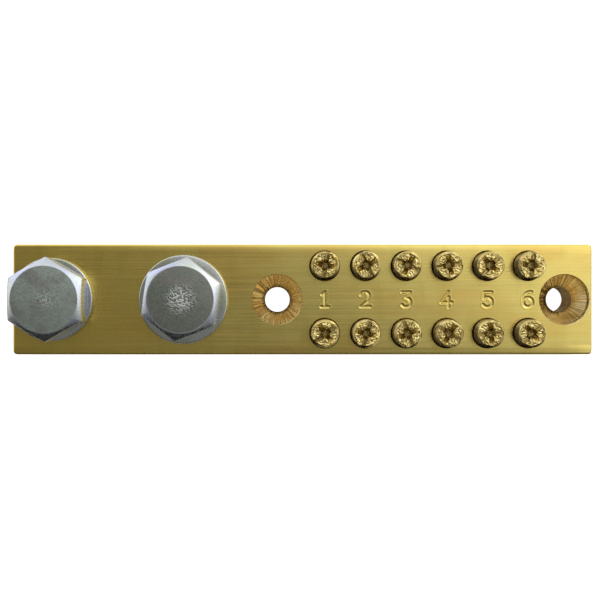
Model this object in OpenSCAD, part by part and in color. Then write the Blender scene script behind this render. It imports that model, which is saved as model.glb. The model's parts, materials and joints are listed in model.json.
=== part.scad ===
// Earth terminal bar: a brass bar with two main bolts at one end and a row of
// numbered ways at the other. Each way is a cable hole across the bar with two
// clamp screws above it. Millimetres, +Z up. The origin is the centre of the
// bar's flat back face, and the bar runs along X.

/* [Bar] */
// Width of the bar
bar_w = 20; // [19:0.5:26]
// Thickness of the bar
bar_h = 10; // [9:0.5:14]
// Radius of the bar's corners, seen from above
corner_r = 0.7; // [0.5:0.1:1.5]
// Radius on the bar's long edges
edge_r = 0.35; // [0.2:0.05:0.6]

/* [Ways] */
// Number of ways
ways = 6; // [2:1:12]
// Distance from one way to the next
way_pitch = 7.37; // [7:0.01:12]
// Long edge of the bar to the nearer row of clamp screws
row_inset = 3.9; // [3.6:0.1:5]
// Diameter of a cable hole
cable_d = 4.5; // [3:0.1:5]
// Metal left above a cable hole for the clamp screw's thread
cable_cover = 3.5; // [3:0.1:4]
// Width of the chamfer at the mouths of a cable hole
cable_chamfer = 0.3; // [0.1:0.05:0.5]

/* [Clamp screws] */
// Thread diameter of a clamp screw
screw_d = 5; // [4:0.1:5.5]
// Length of a clamp screw
screw_len = 6.8; // [5:0.1:10]
// Chamfer round the driven end
screw_rim = 0.25; // [0.1:0.05:0.4]
// Chamfer round the tip that presses on the cable
screw_tip = 0.5; // [0.2:0.1:0.8]
// Room left between a tip and the cable hole
tip_gap = 0.1; // [0.05:0.05:0.5]
// Width of the driver slot
slot_w = 0.8; // [0.6:0.1:1.2]
// Depth of the driver slot
slot_depth = 1; // [0.6:0.1:1.4]
// Width across the cross recess at its mouth
cross_d = 3.9; // [3:0.1:3.9]
// Width of one arm of the cross
cross_w = 0.95; // [0.6:0.05:1.2]
// Depth of the cross recess
cross_depth = 1.9; // [1.5:0.1:2.5]
// Diameter of the pilot socket in the middle of the cross
socket_d = 1.9; // [1:0.1:2.2]
// Width of the narrow flutes between the arms
flute_w = 0.4; // [0.2:0.05:0.6]
// Width across the flutes at their mouth
flute_d = 2.8; // [2:0.1:3.4]
// Depth of the flutes
flute_depth = 1.1; // [0.6:0.1:1.4]
// Turn from one clamp screw to the next, in degrees
turn_step = 37; // [0:1:89]

/* [Main bolts] */
// Thread diameter of a main bolt
bolt_d = 8; // [6:0.5:8]
// Length of a main bolt below its head
bolt_len = 10; // [8:0.5:10.5]
// Width of the hexagon across its flats
bolt_af = 13; // [12:0.5:14]
// Height of the head
head_h = 5.3; // [4:0.1:7]
// Diameter of the flat disc on top of the head
head_top_d = 11.8; // [10:0.1:11.8]
// Diameter of the washer face under the head
head_seat_d = 11.6; // [10:0.1:11.6]
// Height of the washer face under the head
head_seat_h = 0.3; // [0.2:0.1:0.6]
// Angle of the chamfer round the head, in degrees
head_chamfer = 30; // [20:1:35]
// Chamfer at the tip of the bolt
bolt_tip = 0.8; // [0.4:0.1:1.2]
// Clockwise turn of the left head's corners from straight across, in degrees
left_turn = 0.4; // [0:0.1:59]
// Clockwise turn of the right head's corners from straight across, in degrees
right_turn = 8.4; // [0:0.1:59]

/* [Washers] */
// Outer diameter of the left washer, from the small series
left_washer_d = 15; // [14:0.5:18]
// Outer diameter of the right washer, from the normal series
right_washer_d = 16; // [14:0.5:18]
// Thickness of a washer
washer_h = 1.6; // [1.2:0.1:2]
// Rounded-off corner round a washer's edges
washer_edge = 0.25; // [0.1:0.05:0.4]
// Room all round between a bolt and its washer
washer_clear = 0.2; // [0.1:0.05:0.4]

/* [Fixing holes] */
// Diameter of a fixing hole
fix_d = 4.7; // [4:0.1:5.5]
// Diameter of the screw-head recess at the top of a fixing hole
fix_head_d = 9; // [8:0.1:9.4]
// Depth of the straight part of the screw-head recess
fix_head_depth = 1.5; // [0.5:0.1:2]
// Full angle of the countersink, in degrees
fix_cone = 90; // [80:1:100]

/* [Layout along the bar] */
// Left end of the bar to the first main bolt
end_to_bolt = 7.2; // [6:0.1:12]
// First main bolt to the second
bolt_to_bolt = 23.8; // [19:0.1:40]
// Second main bolt to the left fixing hole
bolt_to_fix = 16.9; // [14:0.1:30]
// Left fixing hole to the first way
fix_to_way = 8.6; // [7:0.1:15]
// Last way to the right fixing hole
way_to_fix = 6.6; // [6.4:0.1:15]
// Right fixing hole to the right end of the bar
fix_to_end = 5.05; // [5:0.05:12]

/* [Fit] */
// Room all round between a thread and its tapped hole
thread_clear = 0.05; // [0.03:0.01:0.1]
// Width of the chamfer at the mouth of a tapped hole
tap_chamfer = 0.25; // [0.1:0.05:0.3]

/* [Hidden] */
$fn = 64;
// Cuts run this far past the faces that they open
over = 1;
// Side of the bar that each row of clamp screws is on, along Y
ROW_SIDES = [-1, 1];
ROW_NAMES = ["front", "rear"];

way_span = (ways - 1) * way_pitch;
bar_len = end_to_bolt + bolt_to_bolt + bolt_to_fix + fix_to_way
    + way_span + way_to_fix + fix_to_end;

left_bolt_x = end_to_bolt - bar_len / 2;
right_bolt_x = left_bolt_x + bolt_to_bolt;
left_fix_x = right_bolt_x + bolt_to_fix;
first_way_x = left_fix_x + fix_to_way;
right_fix_x = first_way_x + way_span + way_to_fix;

cable_z = bar_h - cable_cover - cable_d / 2;
screw_tip_z = bar_h - cable_cover + tip_gap;
head_z = bar_h + washer_h;
washer_hole_d = bolt_d + 2 * washer_clear;
head_corner_r = bolt_af / 2 / cos(30);
fix_cone_depth = (fix_head_d - fix_d) / 2 / tan(fix_cone / 2);

function screw_name(row, way) = str("clamp_screw_", ROW_NAMES[row], "_", way);

function way_x(way) = first_way_x + (way - 1) * way_pitch;

function row_y(row) = ROW_SIDES[row] * (bar_w / 2 - row_inset);

// A rectangle about the origin with round corners
module round_rect(w, h, r) {
    square([w - 2 * r, h], center = true);
    square([w, h - 2 * r], center = true);
    for (x = [-1, 1], y = [-1, 1])
        translate([x * (w / 2 - r), y * (h / 2 - r)])
            circle(r);
}

// A solid turned about Z, with a flat chamfer at its foot and at its top
module turned(d, h, foot, top) {
    r = d / 2;
    rotate_extrude()
        polygon([[0, 0], [r - foot, 0], [r, foot], [r, h - top], [r - top, h], [0, h]]);
}

// A shank that hangs down from Z = 0, with a chamfer at its tip
module shank(d, h, tip) {
    translate([0, 0, tip - h])
        cylinder(d = d, h = h - tip);
    translate([0, 0, -h])
        cylinder(r1 = d / 2 - tip, r2 = d / 2, h = tip);
}

// The drawn bar: its rounded section, cut to length with rounded corners
module bar_blank() {
    intersection() {
        rotate([90, 0, 90])
            translate([0, bar_h / 2, -bar_len / 2])
                linear_extrude(bar_len)
                    round_rect(bar_w, bar_h, edge_r);
        linear_extrude(bar_h)
            round_rect(bar_len, bar_w, corner_r);
    }
}

// A fixing hole: straight recess, countersink and clearance hole
module fixing_hole() {
    head_r = fix_head_d / 2;
    hole_r = fix_d / 2;
    cone_top = bar_h - fix_head_depth;
    rotate_extrude()
        polygon([
            [0, -over],
            [hole_r, -over],
            [hole_r, cone_top - fix_cone_depth],
            [head_r, cone_top],
            [head_r, bar_h + over],
            [0, bar_h + over]
        ]);
}

// A cable hole across the bar, with a chamfer at each mouth
module cable_hole() {
    rotate([90, 0, 0])
        cylinder(d = cable_d, h = bar_w + 2 * over, center = true);
    for (side = [0, 180])
        rotate([90, 0, side])
            translate([0, 0, bar_w / 2 - cable_chamfer])
                cylinder(r1 = cable_d / 2, r2 = cable_d / 2 + cable_chamfer + over,
                         h = cable_chamfer + over);
}

// A tapped hole from the top face down to a given height
module tapped_hole(d, bottom) {
    r = d / 2 + thread_clear;
    translate([0, 0, bottom])
        cylinder(r = r, h = bar_h + over - bottom);
    translate([0, 0, bar_h - tap_chamfer])
        cylinder(r1 = r, r2 = r + tap_chamfer + over, h = tap_chamfer + over);
}

// A tapped hole right through the bar, with a chamfer at both faces
module tapped_through(d) {
    tapped_hole(d, -over);
    translate([0, 0, bar_h])
        mirror([0, 0, 1])
            tapped_hole(d, -over);
}

module bar() {
    color("goldenrod")
        difference() {
            bar_blank();
            for (x = [left_fix_x, right_fix_x])
                translate([x, 0, 0])
                    fixing_hole();
            for (x = [left_bolt_x, right_bolt_x])
                translate([x, 0, 0])
                    tapped_through(bolt_d);
            for (way = [1:ways])
                translate([way_x(way), 0, cable_z])
                    cable_hole();
            for (way = [1:ways], row = [0, 1])
                translate([way_x(way), row_y(row), 0])
                    tapped_hole(screw_d, cable_z);
        }
}

// The hexagonal head with its washer face, standing on Z = 0. The corners
// point across the bar before the turn.
module hex_head() {
    top_r = head_top_d / 2;
    drop = (head_corner_r - top_r) * tan(head_chamfer);
    cylinder(d = head_seat_d, h = head_seat_h);
    intersection() {
        translate([0, 0, head_seat_h])
            rotate(90)
                cylinder(r = head_corner_r, h = head_h - head_seat_h, $fn = 6);
        rotate_extrude()
            polygon([
                [0, 0],
                [head_corner_r + over, 0],
                [head_corner_r + over, head_h - drop - over * tan(head_chamfer)],
                [top_r, head_h],
                [0, head_h]
            ]);
    }
}

module hex_bolt(x, turn) {
    color("silver")
        translate([x, 0, head_z]) {
            rotate(-turn)
                hex_head();
            shank(bolt_d, bolt_len, bolt_tip);
        }
}

module washer(x, d) {
    color("gainsboro")
        translate([x, 0, bar_h])
            difference() {
                turned(d, washer_h, washer_edge, washer_edge);
                translate([0, 0, -over])
                    cylinder(d = washer_hole_d, h = washer_h + 2 * over);
            }
}

// Two crossing arms that narrow to a point, measured down from Z = 0
module tapered_cross(width, reach, depth) {
    intersection() {
        translate([0, 0, -depth])
            cylinder(r1 = width / 2, r2 = reach / 2, h = depth);
        for (turn = [0, 90])
            rotate(turn)
                translate([-reach / 2, -width / 2, -depth - over])
                    cube([reach, width, depth + 2 * over]);
    }
}

// The driver recess: a slot across the end, a cross and the flutes between its
// arms, measured down from Z = 0
module driver_recess() {
    translate([-screw_d, -slot_w / 2, -slot_depth])
        cube([2 * screw_d, slot_w, slot_depth + over]);
    tapered_cross(cross_w, cross_d, cross_depth);
    rotate(45)
        tapered_cross(flute_w, flute_d, flute_depth);
    translate([0, 0, -cross_depth])
        cylinder(r1 = cross_w / 2, r2 = socket_d / 2, h = cross_depth);
}

module clamp_screw(row, way) {
    turn = turn_step * (way + ways * row);
    color("khaki")
        translate([way_x(way), row_y(row), screw_tip_z])
            rotate(turn)
                difference() {
                    turned(screw_d, screw_len, screw_tip, screw_rim);
                    translate([0, 0, screw_len])
                        driver_recess();
                }
}

bar();
hex_bolt(left_bolt_x, left_turn);  // bolt_left
hex_bolt(right_bolt_x, right_turn);  // bolt_right
washer(left_bolt_x, left_washer_d);  // washer_left
washer(right_bolt_x, right_washer_d);  // washer_right
for (row = [0, 1], way = [1:ways])
    clamp_screw(row, way);
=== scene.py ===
"""Looks of a brass earth terminal bar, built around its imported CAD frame."""

from __future__ import annotations

import json
import logging
import math
import sys
from collections.abc import Callable, Iterator, Sequence
from contextlib import contextmanager
from dataclasses import dataclass, field
from enum import Enum
from itertools import pairwise

import bmesh
import bpy
from mathutils import Matrix, Vector

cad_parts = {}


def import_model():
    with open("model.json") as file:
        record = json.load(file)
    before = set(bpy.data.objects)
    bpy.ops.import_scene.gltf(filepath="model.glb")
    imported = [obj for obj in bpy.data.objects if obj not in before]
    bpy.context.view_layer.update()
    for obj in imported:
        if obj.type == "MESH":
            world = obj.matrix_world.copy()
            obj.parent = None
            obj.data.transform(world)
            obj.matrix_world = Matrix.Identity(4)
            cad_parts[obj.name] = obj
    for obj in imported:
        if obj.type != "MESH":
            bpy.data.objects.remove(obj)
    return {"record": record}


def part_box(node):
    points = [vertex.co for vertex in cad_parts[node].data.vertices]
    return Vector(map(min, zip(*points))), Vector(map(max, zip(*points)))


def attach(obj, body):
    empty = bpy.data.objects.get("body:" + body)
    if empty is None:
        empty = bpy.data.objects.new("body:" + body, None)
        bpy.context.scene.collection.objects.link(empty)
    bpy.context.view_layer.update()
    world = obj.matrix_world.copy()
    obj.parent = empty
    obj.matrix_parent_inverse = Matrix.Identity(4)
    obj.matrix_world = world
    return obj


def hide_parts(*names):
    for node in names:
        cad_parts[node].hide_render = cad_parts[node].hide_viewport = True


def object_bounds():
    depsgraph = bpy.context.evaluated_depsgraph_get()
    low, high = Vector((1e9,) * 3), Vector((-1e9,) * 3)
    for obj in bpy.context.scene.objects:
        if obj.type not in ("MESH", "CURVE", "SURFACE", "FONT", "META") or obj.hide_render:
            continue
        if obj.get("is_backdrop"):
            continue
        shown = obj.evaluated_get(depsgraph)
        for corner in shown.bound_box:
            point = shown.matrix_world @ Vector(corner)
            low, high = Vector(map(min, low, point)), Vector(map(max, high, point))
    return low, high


LOG = logging.getLogger("earth_bar")
MM = 0.001
BODY = "root"
# Cutters and envelopes run this far past the faces that they meet
OVER = 1.0 * MM
# Points closer than this are one point
MERGE = 0.001 * MM

Point = tuple[float, float]
Colour = tuple[float, float, float]


class Row(Enum):
    """The two rows of clamp screws, named by the side of the bar that each is on."""

    FRONT = "front"
    REAR = "rear"


class Side(Enum):
    """The two main bolts, with the clockwise turn of each head in degrees."""

    LEFT = ("left", 0.4)
    RIGHT = ("right", 8.4)

    def __init__(self, word: str, turn: float) -> None:
        """Keep the side's word and the turn of its head.

        Args:
            word: The word for the side in the nodes' names.
            turn: The turn of the head's corners from straight across the bar.
        """
        self.word = word
        self.turn = turn


class Cut(Enum):
    """What a boolean does with its second shape."""

    TAKE_AWAY = "DIFFERENCE"
    KEEP_SHARED = "INTERSECT"
    ADD = "UNION"


# ---------------------------------------------------------------- bench tools


def activate(*objects: bpy.types.Object) -> None:
    """Select only the given objects and make the first one active.

    Args:
        objects: The objects to select.
    """
    bpy.ops.object.select_all(action="DESELECT")
    for each in objects:
        each.select_set(True)
    bpy.context.view_layer.objects.active = objects[0] if objects else None


@contextmanager
def editing(obj: bpy.types.Object, everything: bool = False) -> Iterator[None]:
    """Hold one object in edit mode.

    Args:
        obj: The object to edit.
        everything: Whether all of its mesh starts selected.

    Yields:
        Nothing: the object is in edit mode meanwhile.
    """
    activate(obj)
    bpy.ops.object.mode_set(mode="EDIT")
    bpy.ops.mesh.select_mode(type="VERT")
    bpy.ops.mesh.select_all(action="SELECT" if everything else "DESELECT")
    try:
        yield
    finally:
        bpy.ops.object.mode_set(mode="OBJECT")


def select_edges(obj: bpy.types.Object, test: Callable[[bmesh.types.BMEdge], bool]) -> None:
    """Select the edges of the edited mesh that pass a test.

    Args:
        obj: The object in edit mode.
        test: Says whether an edge is wanted.
    """
    bpy.ops.mesh.select_mode(type="EDGE")
    bpy.ops.mesh.select_all(action="DESELECT")
    mesh = bmesh.from_edit_mesh(obj.data)
    for edge in mesh.edges:
        edge.select_set(test(edge))
    bmesh.update_edit_mesh(obj.data)


def select_verts(obj: bpy.types.Object, test: Callable[[Vector], bool]) -> None:
    """Select the points of the edited mesh that pass a test.

    Args:
        obj: The object in edit mode.
        test: Says from its place whether a point is wanted.
    """
    bpy.ops.mesh.select_mode(type="VERT")
    bpy.ops.mesh.select_all(action="DESELECT")
    mesh = bmesh.from_edit_mesh(obj.data)
    for vert in mesh.verts:
        vert.select_set(test(vert.co))
    mesh.select_flush(True)
    bmesh.update_edit_mesh(obj.data)


def select_faces(obj: bpy.types.Object, test: Callable[[bmesh.types.BMFace], bool]) -> None:
    """Select the faces of the edited mesh that pass a test.

    Args:
        obj: The object in edit mode.
        test: Says whether a face is wanted.
    """
    bpy.ops.mesh.select_mode(type="FACE")
    bpy.ops.mesh.select_all(action="DESELECT")
    mesh = bmesh.from_edit_mesh(obj.data)
    for face in mesh.faces:
        face.select_set(test(face))
    bmesh.update_edit_mesh(obj.data)


def settle(obj: bpy.types.Object) -> None:
    """Put an object's place, turn and scale into its mesh.

    Args:
        obj: The object to settle at the origin.
    """
    activate(obj)
    bpy.ops.object.transform_apply(location=True, rotation=True, scale=True)


def clean(obj: bpy.types.Object) -> None:
    """Merge doubled points and turn every face outwards.

    Args:
        obj: The object whose mesh is closed.
    """
    with editing(obj, everything=True):
        bpy.ops.mesh.remove_doubles(threshold=MERGE)
        bpy.ops.mesh.select_all(action="SELECT")
        bpy.ops.mesh.normals_make_consistent(inside=False)


def apply_modifier(obj: bpy.types.Object, kind: str, **settings: object) -> None:
    """Add a modifier and apply it at once.

    Args:
        obj: The object to change.
        kind: Blender's name for the modifier.
        settings: The modifier's own settings.
    """
    activate(obj)
    modifier = obj.modifiers.new(kind.lower(), kind)
    for name, value in settings.items():
        setattr(modifier, name, value)
    bpy.ops.object.modifier_apply(modifier=modifier.name)


def combine(obj: bpy.types.Object, other: bpy.types.Object, how: Cut) -> None:
    """Join, cut or intersect two closed shapes and delete the second.

    Args:
        obj: The shape that stays.
        other: The shape that is used up.
        how: What is done with it.
    """
    apply_modifier(
        obj,
        "BOOLEAN",
        object=other,
        operation=how.value,
        solver="EXACT",
        use_self=False,
        use_hole_tolerant=True,
        material_mode="TRANSFER",
    )
    bpy.data.objects.remove(other)


def merged(parts: Sequence[bpy.types.Object]) -> bpy.types.Object:
    """Join separate shapes into one object.

    Args:
        parts: The objects, of which the first stays.

    Returns:
        The joined object.
    """
    activate(*parts)
    if len(parts) > 1:
        bpy.ops.object.join()
    return parts[0]


def copy_of(obj: bpy.types.Object, name: str, matrix: Matrix) -> bpy.types.Object:
    """Copy an object with a mesh of its own, and put a move into that mesh.

    Args:
        obj: The object to copy.
        name: The copy's name.
        matrix: Where the copy goes.

    Returns:
        The copy, at the origin.
    """
    activate(obj)
    bpy.ops.object.duplicate(linked=False)
    twin = bpy.context.object
    twin.name = name
    twin.data.name = name
    twin.matrix_world = matrix
    settle(twin)
    return twin


def place(where: Vector, turn: float = 0.0) -> Matrix:
    """Give the matrix of a turn about Z and a move.

    Args:
        where: The place to move to.
        turn: The turn in degrees, counter-clockwise from above.

    Returns:
        The matrix.
    """
    return Matrix.Translation(where) @ Matrix.Rotation(math.radians(turn), 4, "Z")


def axis_of(node: str) -> Vector:
    """Give the place of a round node's upright axis, at height 0.

    Args:
        node: The node's name in the frame.

    Returns:
        The place.
    """
    low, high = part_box(node)
    return Vector(((low.x + high.x) / 2, (low.y + high.y) / 2, 0))


def polyline(name: str, points: Sequence[Point]) -> bpy.types.Object:
    """Draw a profile in the XZ plane, as a chain of edges.

    Args:
        name: The object's name.
        points: Radius and height of each point, in metres.

    Returns:
        The chain, at the origin.
    """
    first = points[0]
    bpy.ops.object.select_all(action="DESELECT")
    bpy.ops.mesh.primitive_plane_add(size=MM, location=(first[0], 0, first[1]))
    chain = bpy.context.object
    chain.name = name
    with editing(chain, everything=True):
        bpy.ops.mesh.merge(type="CENTER")
        for start, end in pairwise(points):
            step = (end[0] - start[0], 0, end[1] - start[1])
            bpy.ops.mesh.extrude_vertices_move(TRANSFORM_OT_translate={"value": step})
    settle(chain)
    return chain


def lathe(name: str, points: Sequence[Point], segments: int = 96) -> bpy.types.Object:
    """Turn a profile about Z into a closed solid.

    Args:
        name: The object's name.
        points: Radius and height of each point, from axis to axis or round a ring.
        segments: Number of flats round the solid.

    Returns:
        The turned solid, at the origin.
    """
    solid = polyline(name, points)
    with editing(solid, everything=True):
        bpy.ops.mesh.spin(steps=segments, angle=math.tau, center=(0, 0, 0), axis=(0, 0, 1))
    clean(solid)
    return solid


def block(name: str, low: Vector, high: Vector) -> bpy.types.Object:
    """Add a box between two corners.

    Args:
        name: The object's name.
        low: The lowest corner.
        high: The highest corner.

    Returns:
        The box, with its place in its mesh.
    """
    bpy.ops.object.select_all(action="DESELECT")
    bpy.ops.mesh.primitive_cube_add(size=1, location=(low + high) / 2, scale=high - low)
    box = bpy.context.object
    box.name = name
    settle(box)
    return box


def dress(obj: bpy.types.Object, *materials: bpy.types.Material) -> None:
    """Give an object its materials, the first one all over.

    Args:
        obj: The object to dress.
        materials: The materials for its slots.
    """
    obj.data.materials.clear()
    for material in materials:
        obj.data.materials.append(material)


def smooth(obj: bpy.types.Object, degrees: float = 30.0) -> None:
    """Shade an object smooth, apart from its sharp edges.

    Args:
        obj: The object to shade.
        degrees: Edges turned more than this stay sharp.
    """
    activate(obj)
    bpy.ops.object.shade_smooth_by_angle(angle=math.radians(degrees))


def hand_over(obj: bpy.types.Object, node: str) -> None:
    """Let a finished piece stand for its CAD node.

    Args:
        obj: The finished piece.
        node: The node's name in the frame.
    """
    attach(obj, BODY)
    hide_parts(node)
    LOG.info("%s: %d faces", obj.name, len(obj.data.polygons))


# ------------------------------------------------------------------- finishes


class Recipe:
    """Short ways to write a node material on Object coordinates."""

    def __init__(self, name: str) -> None:
        """Start a metal with nothing but its shader.

        Args:
            name: The material's name.
        """
        self.material = bpy.data.materials.new(name)
        self.material.use_nodes = True
        self.tree = self.material.node_tree
        self.shader = self.tree.nodes["Principled BSDF"]
        self.shader.inputs["Metallic"].default_value = 1.0
        self.coordinates = self.node("ShaderNodeTexCoord").outputs["Object"]

    def node(self, kind: str, **settings: object) -> bpy.types.Node:
        """Add a node.

        Args:
            kind: Blender's name for the node.
            settings: The node's own settings.

        Returns:
            The node.
        """
        node = self.tree.nodes.new(kind)
        for name, value in settings.items():
            setattr(node, name, value)
        return node

    def link(self, source: bpy.types.NodeSocket, target: bpy.types.NodeSocket) -> None:
        """Join an output to an input."""
        self.tree.links.new(source, target)

    def mapped(
        self,
        scale: Sequence[float],
        move: Sequence[float] = (0, 0, 0),
        source: bpy.types.NodeSocket | None = None,
    ) -> bpy.types.NodeSocket:
        """Move and stretch the coordinates.

        Args:
            scale: Stretch along each axis.
            move: The point that becomes the pattern's centre, in metres.
            source: Coordinates to use instead of the object's.

        Returns:
            The mapped coordinates.
        """
        shifted = self.node("ShaderNodeVectorMath", operation="SUBTRACT")
        shifted.inputs[1].default_value = move
        self.link(source or self.coordinates, shifted.inputs[0])
        mapping = self.node("ShaderNodeMapping")
        mapping.inputs["Scale"].default_value = scale
        self.link(shifted.outputs[0], mapping.inputs["Vector"])
        return mapping.outputs["Vector"]

    def noise(
        self, scale: Sequence[float], detail: float = 3.0, move: Sequence[float] = (0, 0, 0)
    ) -> bpy.types.NodeSocket:
        """Add a noise whose grain size is set along each axis.

        Args:
            scale: Grains to the metre along each axis.
            detail: Number of finer layers.
            move: Shift of the pattern, in metres.

        Returns:
            The noise, from 0 to 1.
        """
        noise = self.node("ShaderNodeTexNoise")
        noise.inputs["Scale"].default_value = 1.0
        noise.inputs["Detail"].default_value = detail
        self.link(self.mapped(scale, move), noise.inputs["Vector"])
        return noise.outputs["Fac"]

    def spread(
        self, source: bpy.types.NodeSocket, low: float, high: float, to: Point = (0.0, 1.0)
    ) -> bpy.types.NodeSocket:
        """Stretch part of a value's range over another range.

        Args:
            source: The value.
            low: The value that becomes the first end.
            high: The value that becomes the second end.
            to: The two ends of the new range.

        Returns:
            The stretched value, clamped.
        """
        span = self.node("ShaderNodeMapRange", clamp=True, interpolation_type="SMOOTHSTEP")
        self.link(source, span.inputs["Value"])
        for socket, value in zip(span.inputs[1:5], (low, high, *to), strict=True):
            socket.default_value = value
        return span.outputs["Result"]

    def mix(
        self,
        factor: bpy.types.NodeSocket,
        first: Colour | bpy.types.NodeSocket,
        second: Colour | bpy.types.NodeSocket,
    ) -> bpy.types.NodeSocket:
        """Mix two colours.

        Args:
            factor: How much of the second colour shows.
            first: The first colour.
            second: The second colour.

        Returns:
            The mixed colour.
        """
        mix = self.node("ShaderNodeMix", data_type="RGBA")
        self.link(factor, mix.inputs["Factor"])
        for socket, colour in ((mix.inputs[6], first), (mix.inputs[7], second)):
            if isinstance(colour, tuple):
                socket.default_value = (*colour, 1.0)
            else:
                self.link(colour, socket)
        return mix.outputs[2]

    def maths(
        self, operation: str, first: bpy.types.NodeSocket, second: bpy.types.NodeSocket | float
    ) -> bpy.types.NodeSocket:
        """Work out a value from two others.

        Args:
            operation: Blender's name for the operation.
            first: The first value.
            second: The second value.

        Returns:
            The result.
        """
        maths = self.node("ShaderNodeMath", operation=operation)
        self.link(first, maths.inputs[0])
        if isinstance(second, (int, float)):
            maths.inputs[1].default_value = second
        else:
            self.link(second, maths.inputs[1])
        return maths.outputs[0]

    def bump(
        self,
        height: bpy.types.NodeSocket,
        depth: float,
        below: bpy.types.NodeSocket | None = None,
        strength: float = 1.0,
    ) -> bpy.types.NodeSocket:
        """Turn a height into a bumped normal.

        Args:
            height: The height, from 0 to 1.
            depth: How deep the relief is, in metres.
            below: A normal that is bumped already.
            strength: How much of the relief shows.

        Returns:
            The normal.
        """
        bump = self.node("ShaderNodeBump")
        bump.inputs["Distance"].default_value = depth
        bump.inputs["Strength"].default_value = strength
        self.link(height, bump.inputs["Height"])
        if below is not None:
            self.link(below, bump.inputs["Normal"])
        return bump.outputs["Normal"]

    def finish(
        self,
        colour: bpy.types.NodeSocket,
        roughness: bpy.types.NodeSocket,
        normal: bpy.types.NodeSocket,
    ) -> bpy.types.Material:
        """Join the three patterns to the shader.

        Args:
            colour: The metal's colour.
            roughness: Its roughness.
            normal: Its relief.

        Returns:
            The finished material.
        """
        self.link(colour, self.shader.inputs["Base Color"])
        self.link(roughness, self.shader.inputs["Roughness"])
        self.link(normal, self.shader.inputs["Normal"])
        return self.material


@dataclass(frozen=True)
class DrawnBrass:
    """Drawn brass flat with fine lengthwise lines and a light tarnish."""

    clean_brass: Colour = (0.87, 0.70, 0.205)
    copper_tint: Colour = (0.84, 0.60, 0.16)
    tarnish: Colour = (0.72, 0.60, 0.19)
    smudge: Colour = (0.74, 0.57, 0.14)
    # More coppery and a little darker towards the left end of the bar
    left_end_tint: Colour = (0.86, 0.62, 0.125)
    left_end_tint_from: Point = (-45.0 * MM, 0.0)

    def build(self) -> bpy.types.Material:
        """Build the material.

        Returns:
            The material.
        """
        recipe = Recipe("drawn_brass")
        lines = recipe.noise((28, 3200, 3200), 4.0)
        broad_lines = recipe.noise((12, 620, 620), 2.0, (0.3, 0.1, 0.0))
        patches = recipe.noise((70, 150, 150), 3.0, (0.1, 0.5, 0.2))
        smudges = recipe.noise((330, 90, 90), 3.0, (0.7, 0.2, 0.0))
        specks = recipe.noise((2400, 2600, 2600), 2.0)
        tint = recipe.spread(patches, 0.42, 0.66)
        colour = recipe.mix(tint, self.clean_brass, self.copper_tint)
        worn = recipe.maths("MULTIPLY", recipe.spread(broad_lines, 0.5, 0.75), 0.5)
        colour = recipe.mix(worn, colour, self.tarnish)
        # The top turns more coppery and a little darker towards the left end
        place_on_bar = recipe.node("ShaderNodeSeparateXYZ")
        recipe.link(recipe.coordinates, place_on_bar.inputs[0])
        left_end_tint = recipe.spread(place_on_bar.outputs["X"], *self.left_end_tint_from, (0.75, 0.0))
        colour = recipe.mix(left_end_tint, colour, self.left_end_tint)
        dirty = recipe.maths("MULTIPLY", recipe.spread(smudges, 0.45, 0.7), 0.45)
        colour = recipe.mix(dirty, colour, self.smudge)
        roughness = recipe.spread(lines, 0.3, 0.7, (0.2, 0.3))
        normal = recipe.bump(lines, 0.004 * MM)
        normal = recipe.bump(broad_lines, 0.008 * MM, normal)
        normal = recipe.bump(specks, 0.001 * MM, normal)
        return recipe.finish(colour, roughness, normal)


@dataclass(frozen=True)
class SawnBrass:
    """The bar's sawn ends, with fine lines across."""

    bright: Colour = (0.86, 0.68, 0.24)
    shade: Colour = (0.70, 0.52, 0.17)

    def build(self) -> bpy.types.Material:
        """Build the material.

        Returns:
            The material.
        """
        recipe = Recipe("sawn_brass")
        lines = recipe.noise((2600, 130, 4200), 3.0)
        patches = recipe.noise((160, 160, 160), 2.0, (0.2, 0.2, 0.4))
        colour = recipe.mix(recipe.spread(patches, 0.4, 0.65), self.bright, self.shade)
        roughness = recipe.spread(lines, 0.3, 0.7, (0.28, 0.42))
        normal = recipe.bump(lines, 0.02 * MM)
        return recipe.finish(colour, roughness, normal)


@dataclass(frozen=True)
class MachinedBrass:
    """Brass cut by a turning tool, with rings and chatter about one axis."""

    name: str
    centre: Point
    bright: Colour = (0.94, 0.80, 0.46)
    coppery: Colour = (0.82, 0.60, 0.27)
    ring_pitch: float = 0.3 * MM

    def build(self) -> bpy.types.Material:
        """Build the material.

        Returns:
            The material.
        """
        recipe = Recipe(self.name)
        centre = (*self.centre, 0.0)
        rings = recipe.node("ShaderNodeTexWave", wave_type="RINGS", rings_direction="Z")
        rings.inputs["Scale"].default_value = 1.0
        rings.inputs["Distortion"].default_value = 0.6
        stretch = 1 / (self.ring_pitch * 20)
        recipe.link(recipe.mapped((stretch, stretch, 0), centre), rings.inputs["Vector"])
        angle = self._angle(recipe, centre)
        chatter = recipe.node("ShaderNodeTexNoise", noise_dimensions="1D")
        chatter.inputs["Scale"].default_value = 5.5
        chatter.inputs["Detail"].default_value = 3.0
        recipe.link(angle, chatter.inputs["W"])
        patches = recipe.noise((420, 420, 420), 2.0, centre)
        colour = recipe.mix(recipe.spread(patches, 0.4, 0.62), self.bright, self.coppery)
        roughness = recipe.spread(chatter.outputs["Fac"], 0.3, 0.7, (0.14, 0.28))
        normal = recipe.bump(rings.outputs["Fac"], 0.03 * MM)
        normal = recipe.bump(chatter.outputs["Fac"], 0.3 * MM, normal)
        return recipe.finish(colour, roughness, normal)

    def _angle(self, recipe: Recipe, centre: Sequence[float]) -> bpy.types.NodeSocket:
        """Give the angle round the axis.

        Args:
            recipe: The material in the making.
            centre: A point on the axis.

        Returns:
            The angle, in radians.
        """
        parts = recipe.node("ShaderNodeSeparateXYZ")
        recipe.link(recipe.mapped((1, 1, 1), centre), parts.inputs[0])
        return recipe.maths("ARCTAN2", parts.outputs["Y"], parts.outputs["X"])


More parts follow.
